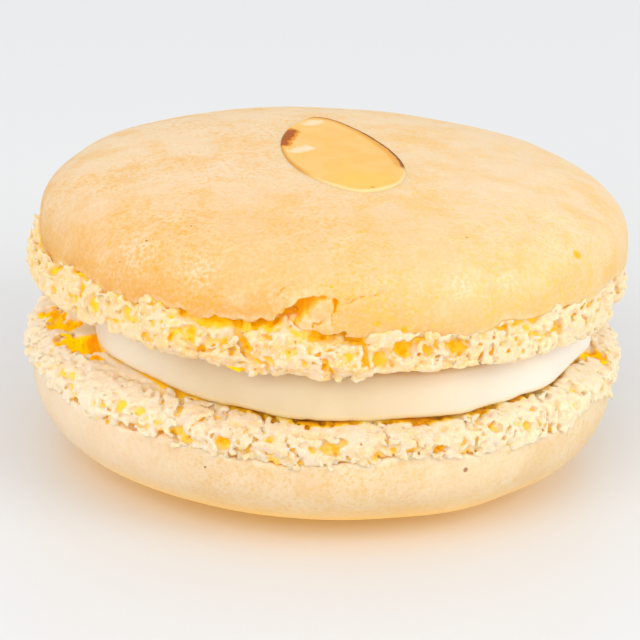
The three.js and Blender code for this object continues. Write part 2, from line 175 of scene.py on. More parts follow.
def closed_line(points, wander, seed, azimuths):
    """Heights on a line through the points, which wanders on round the back."""
    draw = drawer(seed)
    azimuth, height = zip(*points)
    mean = sum(height) / len(height)
    free = 360 - (azimuth[-1] - azimuth[0])
    steps = int(free // WANDER_STEP)
    back = [(azimuth[-1] + free * step / steps, mean + wander * (2 * next(draw) - 1))
            for step in range(1, steps)]
    knots = np.array([*points, *back, (azimuth[0] + 360, height[0])])
    along = azimuth[0] + (azimuths - azimuth[0]) % 360
    place = np.clip(np.searchsorted(knots[:, 0], along, side="right") - 1, 0, len(knots) - 2)
    start, end = knots[place], knots[place + 1]
    share = smooth(0, 1, (along - start[..., 0]) / (end[..., 0] - start[..., 0]))
    return (start[..., 1] + (end[..., 1] - start[..., 1]) * share).astype(np.float32)


def cloud(rng, axes, cell):
    """A smooth random field over a block of voxels: lumps of about two cells, spread round 0."""
    steps = [(points - points[0]) / cell for points in axes]
    field = rng.normal(size=[int(along[-1]) + 4 for along in steps]).astype(np.float32)
    for axis in (2, 1, 0):
        whole = steps[axis].astype(int)
        part = (steps[axis] - whole).astype(np.float32)
        weights = ((1 - part) ** 3, 3 * part**3 - 6 * part**2 + 4,
                   -3 * part**3 + 3 * part**2 + 3 * part + 1, part**3)
        shape = [-1 if other == axis else 1 for other in range(3)]
        field = sum(field.take(whole + offset, axis) * weight.reshape(shape)
                    for offset, weight in enumerate(weights))
    return field / field.std()


def flat_cloud(rng, across, up, cell):
    """The same field over a flat grid."""
    return cloud(rng, (across, up, np.array([0.0, 1.0])), cell)[..., 0]


def line_distance(points, across, up):
    """Distance from a line through the points, on a flat grid."""
    nearest = 99.0
    for (x0, z0), (x1, z1) in zip(points, points[1:]):
        dx, dz = x1 - x0, z1 - z0
        share = np.clip(((across - x0) * dx + (up - z0) * dz) / (dx * dx + dz * dz), 0, 1)
        nearest = np.minimum(nearest, np.hypot(across - x0 - share * dx, up - z0 - share * dz))
    return nearest


def outline_distance(points, across, up):
    """Distance from a closed outline on a flat grid, below 0 inside it."""
    points = points + points[:1]
    inside = False
    for (x0, z0), (x1, z1) in zip(points, points[1:]):
        if z0 != z1:
            beside = across < x0 + (x1 - x0) * (up - z0) / (z1 - z0)
            inside = inside ^ (((up < z0) != (up < z1)) & beside)
    return np.where(inside, -1, 1) * line_distance(points, across, up)


def on_round(out, angle, level):
    """The point at this distance from the upright axis, turned from the front by the angle."""
    return out * math.sin(angle), -out * math.cos(angle), level


def span_round(axes, centre, reach):
    """The part of a block of voxels within reach of a point along each axis."""
    return tuple(slice(*np.searchsorted(points, (middle - far, middle + far)))
                 for points, middle, far in zip(axes, centre, reach))


def carve(field, axes, centre, size, power, uneven, roughness):
    """Takes a rounded hole with an uneven wall out of a block of voxels."""
    cut = span_round(axes, centre, [1.3 * half + VOXEL for half in size])
    across, deep, up = (abs(points[span] - middle) / half
                        for points, span, middle, half in zip(axes, cut, centre, size))
    away = (across[:, None, None] ** power + deep[:, None] ** power + up**power) ** (1 / power)
    hole = (1 - away) * min(size) + roughness * uneven[cut]
    np.maximum(field[cut], hole, out=field[cut])


def seams(rng, axes, spacing, bend):
    """Distance from the seams between lumps that fill the torn foot, over a block of voxels."""
    side, _, up = axes
    bent = [points.reshape(shape) + bend * spacing * cloud(rng, axes, 0.45 * spacing)
            for points, shape in ((side, (-1, 1, 1)), (side, (1, -1, 1)), (up, (1, 1, -1)))]
    first = np.full(bent[0].shape, 9, np.float32)
    second = first.copy()
    volume = math.pi * (LUMPS_TO**2 - LUMPS_FROM**2) * (up[-1] - up[0])
    for _ in range(int(volume / spacing**3)):
        angle = 2 * math.pi * rng.random()
        out = rng.uniform(LUMPS_FROM, LUMPS_TO)
        centre = on_round(out, angle, rng.uniform(up[0], up[-1]))
        cut = span_round(axes, centre, 3 * [1.6 * spacing])
        away = sum((points[cut] - middle) ** 2 for points, middle in zip(bent, centre))
        nearer = first[cut]
        second[cut] = np.minimum(second[cut], np.maximum(nearer, away))
        first[cut] = np.minimum(nearer, away)
    return (np.sqrt(second) - np.sqrt(first)) / 2


def wall_radius(shell, height):
    """Radius of the foot before its crumb: it draws in towards the flat side."""
    tuck = np.clip(1 - height / shell["foot_tuck_height"], 0, 1)
    return shell["foot_radius"] - shell["foot_tuck"] * tuck * tuck


def crust_field(shell, rng, axes, edge):
    """Distance from the smooth crust: a dome on a short upright rim, cut off along its torn edge."""
    side, _, up = axes
    radius = np.hypot(side[:, None] - shell["crust_shift"], side)
    crown = shell["crown_rise"] * np.maximum(0, 1 - (radius / shell["crown_radius"]) ** 2)
    roundness, fullness = shell["roundness"], shell["fullness"]
    across = (radius / shell["crust_radius"])[..., None]
    rise = np.maximum(0, (up - shell["crust_base"] - crown[..., None]) / shell["dome_height"])
    rise = rise.astype(np.float32)
    slope = np.hypot(roundness * across ** (roundness - 1) / shell["crust_radius"],
                     fullness * rise ** (fullness - 1) / shell["dome_height"])
    crust = (across**roundness + rise**fullness - 1) / np.maximum(slope, 0.02)
    crust += CRUST_WAVE * smooth(*CALM_CROWN, radius)[..., None] * cloud(rng, axes, 3.5)
    crust = np.maximum(crust, up - (shell["crust_base"] + shell["rest"]))
    lip = edge[..., None] - up
    corner = np.hypot(np.maximum(LIP + crust, 0), np.maximum(LIP + lip, 0))
    return np.maximum(np.minimum(np.maximum(crust, lip), -LIP), corner - LIP)


def foot_band(shell, rng, axes, azimuth, edge):
    """Distance from the foot while it is whole, a ragged band under the crust, and its rim."""
    side, _, up = axes
    radius = np.hypot(side[:, None], side)
    rim = closed_line(shell["rim"], RIM_WANDER, shell["seed"] + 3, azimuth)
    rim = rim - shell["teeth"] * np.clip(0.4 + flat_cloud(rng, side, side, 0.7), 0, 1.6)
    rim = (rim * smooth(shell["flat_radius"], shell["foot_radius"] - 0.9, radius))[..., None]
    radius = radius[..., None]
    below = edge[..., None] - up
    gape = closed_line(shell["gape"], GAPE_WANDER, shell["seed"] + 5, azimuth)
    gape = (gape * (0.3 + 0.8 * smooth(-1.0, 1.0, flat_cloud(rng, side, side, 1.3))))[..., None]
    wall = wall_radius(shell, up) - FOOT_INSET - gape * smooth(0.85, 0.45, below)
    crumb = np.maximum(radius - wall, rim - up)
    top = 0.1 + 0.25 * np.abs(flat_cloud(rng, side, side, 0.8))[..., None] * (gape < 0.3)
    return np.maximum(crumb, np.maximum(-top - below, FOOT_INSIDE - radius)), rim


def crumble(shell, rng, axes, crumb, rim):
    """Breaks the foot up into rough lumps, and gives what makes its holes uneven."""
    side, _, up = axes
    radius = np.hypot(side[:, None], side)[..., None]
    torn = smooth(*TORN_FROM, radius) * (1 - shell["calm_rim"] * smooth(0.9, 0, up - rim))
    grain = cloud(rng, axes, 0.2)
    uneven = 0.6 * grain + 0.9 * cloud(rng, axes, 0.5)
    crumb += torn * (0.07 * cloud(rng, axes, 1.3) + 0.045 * cloud(rng, axes, 0.5))
    for spacing, width, depth in LUMPS:
        seam = seams(rng, axes, spacing, 0.25)
        opening = width * (1.3 * smooth(-0.2, 1.0, cloud(rng, axes, 0.8 * spacing)) - 0.3)
        crumb += torn * 0.4 * depth * smooth(0.2 * spacing, 0, seam)
        crumb = np.maximum(crumb, np.minimum(opening - seam, crumb + depth * torn))
    crumb += torn * (0.065 * cloud(rng, axes, 0.27) + 0.035 * grain)
    return crumb, grain, uneven


def take_holes(shell, rng, axes, crumb, grain, uneven):
    """Takes the holes, the caves beside the cream and the pores out of the foot."""
    draw = drawer(shell["seed"] + 1)
    holes = [(*hole, HOLE_DEPTH) for hole in shell["holes"]]
    for _ in range(SMALL_HOLES):
        turned, width, level, tall, depth = (next(draw) for _ in range(5))
        width = 0.8 + 0.9 * width
        level = 0.5 + (shell["crust_base"] - 0.9) * level
        holes.append((360 * turned, level, width, width * (0.6 + 0.4 * tall), 0.3 + 0.45 * depth))
    for turned, level, width, tall, depth in holes:
        angle = math.radians(turned)
        along, inward = abs(math.cos(angle)), abs(math.sin(angle))
        half = (max(width / 2 * along, depth * inward), max(width / 2 * inward, depth * along), tall / 2)
        centre = on_round(wall_radius(shell, level) - FOOT_INSET, angle, level)
        carve(crumb, axes, centre, half, 2.8, uneven, 0.13)
    for turned, out, half, level, tall in shell["caves"]:
        centre = on_round(out, math.radians(turned), level)
        carve(crumb, axes, centre, (half, half, tall), 2.5, uneven, 0.16)
    for count, smallest, largest in PORES:
        for _ in range(count):
            angle = 2 * math.pi * rng.random()
            size = smallest + (largest - smallest) * rng.random() ** 2
            level = -0.3 + (shell["crust_base"] + 0.5) * rng.random()
            centre = on_round(wall_radius(shell, level) + rng.uniform(-0.45, 0), angle, level)
            carve(crumb, axes, centre, (size, size, size * rng.uniform(0.8, 1.4)), 2, grain, 0.04)


def break_crust(shell, rng, axes, crust):
    """Takes the chip out of the crust at the front, and sinks the cracks round it."""
    side, _, up = axes
    front = slice(0, np.searchsorted(side, CHIP_REACH))
    part = crust[:, front].copy()
    waver = 0.09 * flat_cloud(rng, side, up, 0.3)
    across, height = side[:, None], up[None, :]
    chip = outline_distance(shell["chip"], across, height) + waver
    part += (smooth(0.04, -0.3, chip) * (0.5 + 0.05 * flat_cloud(rng, side, up, 0.25)))[:, None, :]
    for path, width in shell["cracks"]:
        away = line_distance(path, across, height) + 0.6 * waver
        part += (min(0.4, 3 * width) * smooth(width + 0.12, 0.3 * width, away))[:, None, :]
    crust[:, front] = part


def shell_fields(shell):
    """Distances from a shell's broken crust, its whole crust and its foot, over blocks of voxels."""
    rng = np.random.default_rng(shell["seed"])
    top = shell["crust_base"] + min(shell["dome_height"], shell["rest"]) + shell["crown_rise"]
    side = np.arange(-REACH, REACH, VOXEL, dtype=np.float32)
    up = np.arange(-1.2, top + 4 * VOXEL, VOXEL, dtype=np.float32)
    azimuth = np.degrees(np.arctan2(side[:, None], -side[None, :]))
    edge = closed_line(shell["edge"], EDGE_WANDER, shell["seed"] + 2, azimuth)
    edge += 0.13 * flat_cloud(rng, side, side, 0.9) + 0.08 * flat_cloud(rng, side, side, 0.35)
    whole = crust_field(shell, rng, (side, side, up), edge)
    crust = whole.copy()
    if shell["chip"]:
        break_crust(shell, rng, (side, side, up), crust)
    low = (side, side, up[:np.searchsorted(up, FOOT_TOP)])
    crumb, rim = foot_band(shell, rng, low, azimuth, edge)
    crumb, grain, uneven = crumble(shell, rng, low, crumb, rim)
    take_holes(shell, rng, low, crumb, grain, uneven)
    crumb = np.maximum(crumb, np.hypot(side[:, None], side)[..., None] - WIDEST)
    return crust, whole, crumb, (side, side, up), edge


def sample(field, axes, points):
    """Values of a block of voxels at points between its voxels."""
    along = [np.clip((points[:, axis] - axes[axis][0]) / VOXEL, 0, field.shape[axis] - 1.001)
             for axis in range(3)]
    whole = [steps.astype(int) for steps in along]
    part = [steps - floor for steps, floor in zip(along, whole)]
    total = 0
    for corner in np.ndindex(2, 2, 2):
        weight = np.prod([share if step else 1 - share for step, share in zip(corner, part)], axis=0)
        total = total + weight * field[tuple(floor + step for floor, step in zip(whole, corner))]
    return total


def below_edge(edge, axes, points):
    """How far points lie below the torn edge of the crust."""
    return sample(edge[..., None].repeat(2, 2), axes, points * (1, 1, 0)) - points[:, 2]


def blur(field, steps):
    """The mean over a cube round each voxel, taken twice, which comes close to a round blur."""
    for axis in (0, 1, 2, 0, 1, 2):
        ends = [(steps + 1, steps) if other == axis else (0, 0) for other in range(3)]
        total = np.cumsum(np.pad(field, ends, "edge"), axis, np.float32)
        count = field.shape[axis]
        ahead = total.take(range(2 * steps + 1, 2 * steps + 1 + count), axis)
        field = (ahead - total.take(range(count), axis)) / (2 * steps + 1)
    return field


def mesh_from(name, points, faces):
    """A mesh whose faces all have the same number of corners."""
    mesh = bpy.data.meshes.new(name)
    mesh.vertices.add(len(points))
    mesh.vertices.foreach_set("co", points.astype(np.float32).ravel())
    mesh.loops.add(faces.size)
    mesh.loops.foreach_set("vertex_index", faces.astype(np.int32).ravel())
    mesh.polygons.add(len(faces))
    starts = np.arange(0, faces.size, faces.shape[1], dtype=np.int32)
    mesh.polygons.foreach_set("loop_start", starts)
    mesh.update(calc_edges=True)
    mesh.validate()
    return mesh


def largest_part(count, faces):
    """Marks the faces of the largest part of a mesh that hangs together."""
    label = np.arange(count)
    while True:
        lowest = label[faces].min(axis=1)
        lower = label.copy()
        np.minimum.at(lower, faces.ravel(), lowest.repeat(faces.shape[1]))
        lower = lower[lower[lower]]
        if np.array_equal(lower, label):
            return label[faces[:, 0]] == np.bincount(label).argmax()
        label = lower


def place_object(name, mesh):
    made = bpy.data.objects.new(name, mesh)
    bpy.context.scene.collection.objects.link(made)
    return made


def add_values(mesh, name, values):
    """Stores one number for each point of a mesh, which a material reads by this name."""
    layer = mesh.attributes.new(name, "FLOAT", "POINT")
    layer.data.foreach_set("value", np.asarray(values, np.float32))


def voxel_piece(name, field, axes, most_faces):
    """The surface where a block of voxels passes 0, as an object, and its points."""
    grid = openvdb.FloatGrid(1.0)
    grid.copyFromArray(np.clip(field, -1, 1).astype(np.float32))
    points, quads = grid.convertToQuads(0.0)
    quads = quads[largest_part(len(points), quads)]
    used, quads = np.unique(quads, return_inverse=True)
    quads = quads.reshape(-1, 4)[:, ::-1]
    corner = np.array([axis[0] for axis in axes])
    fine = mesh_from(name, points[used] * VOXEL + corner, quads)
    made = place_object(name, fine)
    thin = made.modifiers.new("thin", "DECIMATE")
    thin.ratio = min(1, most_faces / (2 * len(quads)))
    thin.use_collapse_triangulate = True
    shaped = made.evaluated_get(bpy.context.evaluated_depsgraph_get())
    made.data = bpy.data.meshes.new_from_object(shaped)
    made.modifiers.clear()
    bpy.data.meshes.remove(fine)
    points = np.zeros((len(made.data.vertices), 3), np.float32)
    made.data.vertices.foreach_get("co", points.ravel())
    return made, points


# The cream's outline, which also places painted shade on the crumb beside it, and the lean of the upper
# shell on it
CREAM_THICKNESS = 3.6
CREAM_CENTRE = 1.25
CREAM_HALF = (19.8, 22.3)
CREAM_FLARE = 0.8  # its lower edge has spread by this
CREAM_WAVE = 0.18
CREAM_SEED = 37
SLIT = 0.45
# Its lower edge is tucked in over slits, given as azimuth and depth, and SLIT is the deepest
SLITS = [(-62, 0.05), (-54, 0.4), (-47, 0.1), (-37, 0.4), (-29, 0.25), (-23, 0.02), (-14, 0.35),
         (-7, 0.1), (-2, SLIT), (5, 0.4), (10, 0.05), (18, SLIT), (25, 0.3), (29, 0.05), (35, 0.35),
         (40, 0.05), (45, 0.4), (51, 0.05)]
LEAN = math.radians(2.1)
ROLL = math.radians(0.6)


def cream_edge(azimuth):
    """Radius of the cream from its own middle: an oval with a few slow waves."""
    draw = drawer(CREAM_SEED)
    angle = np.radians(azimuth)
    radius = 1 / np.hypot(np.sin(angle) / CREAM_HALF[0], np.cos(angle) / CREAM_HALF[1])
    for turns in (3, 5, 8, 13):
        start = 2 * math.pi * next(draw)
        radius = radius + CREAM_WAVE * next(draw) * np.cos(turns * angle + start)
    return radius


def slit_depth(azimuth):
    """How far the cream's lower edge is tucked in, which leaves slits on the ledge below it."""
    return closed_line(SLITS, 0.2, CREAM_SEED + 1, azimuth)


def crust_piece(name, shell, crust, whole, axes, edge):
    """The crust of a shell, with what its material reads on it."""
    made, points = voxel_piece(name, crust, axes, CRUST_FACES)
    if shell["chip"]:
        front = points[:, 1] < 0
        flake, chip = (outline_distance(shell[part], points[:, 0], points[:, 2])
                       for part in ("flake", "chip"))
        add_values(made.data, "flake", front * smooth(0.1, -0.1, flake))
        pale_edge = smooth(0.5, 0.1, np.minimum(np.abs(flake), np.abs(chip)))
        add_values(made.data, "pale_edge", front * pale_edge)
    add_values(made.data, "torn", smooth(0.1, 0.25, -sample(whole, axes, points)))
    add_values(made.data, "above_edge", -below_edge(edge, axes, points))
    return made


def foot_piece(name, shell, crust, crumb, axes, edge):
    """The torn foot of a shell, with what its material reads: how deep in a hollow a point lies, raised
    where painted shade falls under the crust's lip, how close to the cream and its slits it lies, and
    the caves, which are painted with shade."""
    band = crumb.shape[2]
    axes = (*axes[:2], axes[2][:band])
    made, points = voxel_piece(name, crumb, axes, FOOT_FACES)
    x, y, height = points.T
    azimuth = np.degrees(np.arctan2(x, -y))
    solid = (np.minimum(crumb, crust[..., :band]) < 0).astype(np.float32)
    wide, narrow = (sample(blur(solid, steps), axes, points) for steps in (4, 1))
    ledge = smooth(1.2, 0.6, height)
    gape = closed_line(shell["gape"], GAPE_WANDER, shell["seed"] + 5, azimuth)
    painted_shade_under_lip = smooth(1.1, 1.6, gape) * smooth(1.1, 0.7, below_edge(edge, axes, points))
    # The crumb's colour paints shade by this measure, and it is raised under the crust's lip as painted
    # shadow.
    hollow = np.maximum(wide, narrow - 0.12) + 0.16 * painted_shade_under_lip - shell["pale_ledge"] * ledge
    add_values(made.data, "hollow", hollow)
    # Painted shade in the slits on the ledge under the cream's edge.
    from_cream = x - CREAM_CENTRE
    off_cream = np.hypot(from_cream, y) - CREAM_FLARE
    off_cream -= cream_edge(np.degrees(np.arctan2(from_cream, -y)))
    slit = slit_depth(azimuth) / SLIT
    add_values(made.data, "painted_slit_shade", ledge * (0.2 + slit) * smooth(-0.05, -0.32, off_cream))
    # Painted shade in the caves beside the cream.
    painted_cave_shade = np.zeros(len(points))
    for turned, out, half, level, tall in shell["caves"]:
        cave_x, cave_y, _ = on_round(out, math.radians(turned), level)
        away = np.hypot(x - cave_x, y - cave_y)
        within = smooth(level + 1.3 * tall, level + 0.7 * tall, height)
        painted_cave_shade = np.maximum(painted_cave_shade, within * smooth(1.25, 0.7, away / half))
    add_values(made.data, "painted_cave_shade", painted_cave_shade)
    return made


def shell_pieces(name, shell, placing):
    """A shell in two pieces that are baked together: its crust and its foot."""
    crust, whole, crumb, axes, edge = shell_fields(shell)
    pieces = (crust_piece(name + "_crust", shell, crust, whole, axes, edge),
              foot_piece(name + "_foot", shell, crust, crumb, axes, edge))
    for piece in pieces:
        piece.data.transform(placing)
        if placing.determinant() < 0:
            piece.data.flip_normals()
        piece.data.shade_smooth()
    return pieces


lower_place = Matrix.Translation((0, 0, flat_side * MM)) @ Matrix.Diagonal((MM, MM, -MM, 1))
upper_place = Matrix.Translation((0, 0, (flat_side + CREAM_THICKNESS) * MM))
upper_place = upper_place @ Matrix.Rotation(-LEAN, 4, "X") @ Matrix.Rotation(ROLL, 4, "Y")
upper_place = upper_place @ Matrix.Diagonal((MM, MM, MM, 1))
lower_crust, lower_foot = shell_pieces("shell_bottom", LOWER, lower_place)
upper_crust, upper_foot = shell_pieces("shell_top", UPPER, upper_place)


class Wire:
    """One shader socket. Arithmetic on wires adds Math nodes, and node() adds any other node."""

    def __init__(self, tree, socket=None):
        self.tree = tree
        self.socket = socket

    def node(self, kind, settings=None, inputs=None, output=0):
        added = self.tree.nodes.new("ShaderNode" + kind)
        for name, value in (settings or {}).items():
            setattr(added, name, value)
        for name, value in (inputs or {}).items():
            if isinstance(value, Wire):
                self.tree.links.new(value.socket, added.inputs[name])
            else:
                added.inputs[name].default_value = value
        return Wire(self.tree, added.outputs[output] if added.outputs else None)

    def math(self, operation, *values):
        return self.node("Math", {"operation": operation}, dict(enumerate(values)))

    def __add__(self, other):
        return self.math("ADD", self, other)

    def __sub__(self, other):
        return self.math("SUBTRACT", self, other)

    def __rsub__(self, other):
        return self.math("SUBTRACT", other, self)

    def __mul__(self, other):
        return self.math("MULTIPLY", self, other)

    __radd__ = __add__
    __rmul__ = __mul__


def tint(red, green, blue):
    """A colour as seen, from 0 to 255, as the linear values that a shader takes."""
    seen = [level / 255 for level in (red, green, blue)]
    return (*[level / 12.92 if level <= 0.04045 else ((level + 0.055) / 1.055) ** 2.4
              for level in seen], 1)


def material(name):
    made = bpy.data.materials.new(name)
    made.use_nodes = True
    made.node_tree.nodes.clear()
    return made, Wire(made.node_tree)


def surface(wire, values):
    shader = wire.node("BsdfPrincipled", None, values)
    wire.node("OutputMaterial", None, {"Surface": shader})


def stored(wire, name):
    """The number that add_values has stored on the mesh."""
    return wire.node("Attribute", {"attribute_name": name}, output="Fac")


def part_of(wire, place, axis):
    return wire.node("SeparateXYZ", None, {"Vector": place}, axis)


def mix(wire, share, under, over):
    return wire.node("Mix", {"data_type": "RGBA"}, {0: share, 6: under, 7: over}, 2)


def layers(wire, colour, *coats):
    """A colour under coats, each one given as how far it covers and its own colour."""
    for share, over in coats:
        colour = mix(wire, share, colour, over)
    return colour


def between(wire, low, high, value):
    """Rises from 0 at the low value to 1 at the high one."""
    return wire.node("MapRange", {"interpolation_type": "SMOOTHSTEP"},
                     {"Value": value, "From Min": low, "From Max": high})


def texture(wire, place, scale, detail, roughness=0.5, output="Fac"):
    """Noise with this many lumps to the metre."""
    return wire.node("TexNoise", None, {"Vector": place, "Scale": scale, "Detail": detail,
                                        "Roughness": roughness}, output)


def spots(wire, place, scale, low, high):
    return between(wire, low, high, texture(wire, place, scale, 3, 0.6))


def round_mark(wire, place, centre, inner, outer):
    """1 within the inner radius of a point, in millimetres, and 0 outside the outer one."""
    away = wire.node("VectorMath", {"operation": "DISTANCE"}, {0: place, 1: centre}, "Value")
    return 1 - between(wire, inner * MM, outer * MM, away)


def meringue(wire, place, colour, painted_glow, roughness, shine, grain_size, depth):
    """The finish of both crust and crumb: matt, fine-grained, and it lets some light through, with a
    painted glow given as emission.
    """
    grain = texture(wire, place, grain_size, 4, 0.65)
    bump = wire.node("Bump", None, {"Strength": 0.5, "Distance": depth, "Height": grain})
    surface(wire, {
        "Base Color": colour, "Roughness": roughness, "Normal": bump, "Specular IOR Level": shine,
        "Subsurface Weight": 0.5, "Subsurface Radius": (1.0, 0.6, 0.25), "Subsurface Scale": 0.0012,
        "Emission Color": painted_glow, "Emission Strength": 0.35})


def crack_distance(wire, place, points):
    """Distance from a line through points in space, in metres."""
    nearest = None
    for start, end in zip(points, points[1:]):
        way = end - start
        out = wire.node("VectorMath", {"operation": "SUBTRACT"}, {0: place, 1: start})
        share = wire.node("VectorMath", {"operation": "DOT_PRODUCT"},
                          {0: out, 1: way / way.length_squared}, "Value")
        share = wire.math("MINIMUM", wire.math("MAXIMUM", share, 0), 1)
        foot = wire.node("VectorMath", {"operation": "SCALE"}, {0: way, "Scale": share})
        away = wire.node("VectorMath", {"operation": "DISTANCE"}, {0: out, 1: foot}, "Value")
        nearest = away if nearest is None else wire.math("MINIMUM", nearest, away)
    return nearest


def on_crust(shell, placing, x, height):
    """The point on the front of a shell's crust at this x and height."""
    rise = max(0, height - shell["crust_base"]) / shell["dome_height"]
    radius = shell["crust_radius"] * (1 - rise ** shell["fullness"]) ** (1 / shell["roundness"])
    depth = math.sqrt(radius**2 - (x - shell["crust_shift"]) ** 2)
    return placing @ Vector((x, -depth, height))


BLACK = (0, 0, 0, 1)
WAVER = 0.3 * MM  # how far cracks and pinholes stray from their paths


def baked_tone(wire, place, side, depth, above, tones):
    """Warm at the rim and paler towards the crown, partly baked tone and partly painted sheen; painted
    lighter towards the right as painted light, with crowds of golden freckles painted yellower there.
    """
    crown_pale_and_sheen = between(wire, 0, 5, above) * (1 - 0.5 * between(wire, -0.004, -0.02, depth))
    freckle = mix(wire, between(wire, -0.012, 0.018, side), tones["freckle"], tones["painted_lit_freckle"])
    crowded = (0.35 + 0.65 * spots(wire, place, 130, 0.38, 0.58)) * (1 - 0.45 * crown_pale_and_sheen)
    return layers(
        wire, tones["shoulder"],
        # painted light: the right side is painted lighter
        (between(wire, -0.006, 0.022, side), tones["painted_lit_side"]),
        (crown_pale_and_sheen, tones["crown"]),
        (0.6 * spots(wire, place, 260, 0.4, 0.72), tones["warm"]),
        (0.35 * spots(wire, place, 420, 0.5, 0.75), tones["bloom"]),
        (0.25 * spots(wire, place, 3200, 0.42, 0.68), tones["bloom"]),
        (0.6 * crowded * spots(wire, place, 850, 0.5, 0.68), freckle),
        (crowded * spots(wire, place, 2700, 0.51, 0.63), freckle))


def dry_bloom(wire, place, marks):
    """Where the crust has dried to a pale bloom: at chance and at its pale spots."""
    bloom = 0.5 * spots(wire, place, 170, 0.57, 0.68)
    for centre, radius in marks:
        bloom = wire.math("MAXIMUM", bloom, round_mark(wire, place, centre, 0.2 * radius, radius))
    return bloom * spots(wire, place, 2900, 0.44, 0.62)


def dark_specks(wire, place, marks):
    """Specks of almond skin in a quarter of the cells of a pattern, and where they are marked."""
    cells = {"Vector": place, "Scale": 240}
    speck = 1 - between(wire, 0.015, 0.04, wire.node("TexVoronoi", None, cells, "Distance"))
    cell = wire.node("TexVoronoi", None, cells, "Color")
    chosen = wire.node("SeparateColor", None, {"Color": cell}, "Red")
    speck = speck * wire.math("GREATER_THAN", chosen, 0.75)
    for centre, radius in marks:
        speck = wire.math("MAXIMUM", speck, round_mark(wire, place, centre, 0.5 * radius, radius))
    return speck


def crust_material(name, shell, placing, tones):
    made, wire = material(name)
    place = wire.node("TexCoord", output="Object")
    side, depth, height = (part_of(wire, place, axis) for axis in "XYZ")
    torn = stored(wire, "torn")
    above = stored(wire, "above_edge")
    pale_spots, specks, pinholes = ([(on_crust(shell, placing, x, level), radius)
                                     for x, level, radius in shell[marks]]
                                    for marks in ("pale_spots", "specks", "pinholes"))
    lip = (1 - between(wire, 0.1, 0.7, above)) * spots(wire, place, 700, 0.35, 0.6)
    inward = between(wire, 0.15, 0.35, above)
    colour = layers(
        wire, baked_tone(wire, place, side, depth, above, tones),
        (0.45 * dry_bloom(wire, place, pale_spots), tint(240, 222, 194)),
        (0.5 * lip, tones["bloom"]),
        (0.8 * dark_specks(wire, place, specks), tint(150, 85, 20)),
        (torn, mix(wire, inward, tones["bloom"], tint(238, 188, 2))))
    if shell["chip"]:
        pale_edge = stored(wire, "pale_edge") * (1 - torn) * spots(wire, place, 900, 0.35, 0.6)
        colour = layers(wire, colour,
                        (0.4 * stored(wire, "flake") * (1 - torn), tones["flake"]),
                        (0.5 * pale_edge, tones["bloom"]))
        # The torn crumb in the chip is given a painted glow.
        painted_glow = mix(wire, torn * inward, BLACK, tint(246, 192, 0))
    else:
        # Near the floor the lower crust is painted golden and given a painted glow as bounce light, and
        # its left side is painted lighter as painted light.
        low = between(wire, 0.005, 0.0008, height)
        colour = layers(wire, colour,
                        (0.45 * between(wire, -0.008, -0.02, side), tint(244, 223, 198)),
                        (0.6 * low, tint(236, 190, 90)))
        painted_glow = mix(wire, low, BLACK, tint(255, 186, 30))
    waver = texture(wire, place, 1500, 2, output="Color")
    waver = wire.node("VectorMath", {"operation": "MULTIPLY_ADD"}, {0: waver, 1: 3 * [WAVER], 2: place})
    waver = wire.node("VectorMath", {"operation": "SUBTRACT"}, {0: waver, 1: 3 * [WAVER / 2]})
    for path, width in shell["cracks"]:
        away = crack_distance(wire, waver, [on_crust(shell, placing, *point) for point in path])
        line = 1 - between(wire, 0.6 * width * MM, (width + 0.05) * MM, away)
        colour = mix(wire, line, colour, tint(222, 150, 5))
    for centre, radius in pinholes:
        hole = round_mark(wire, waver, centre, 0.6 * radius, 1.2 * radius)
        colour = mix(wire, hole, colour, tint(238, 178, 5))
    meringue(wire, place, colour, painted_glow, 0.6, 0.3, 2600, 0.00006)
    return made


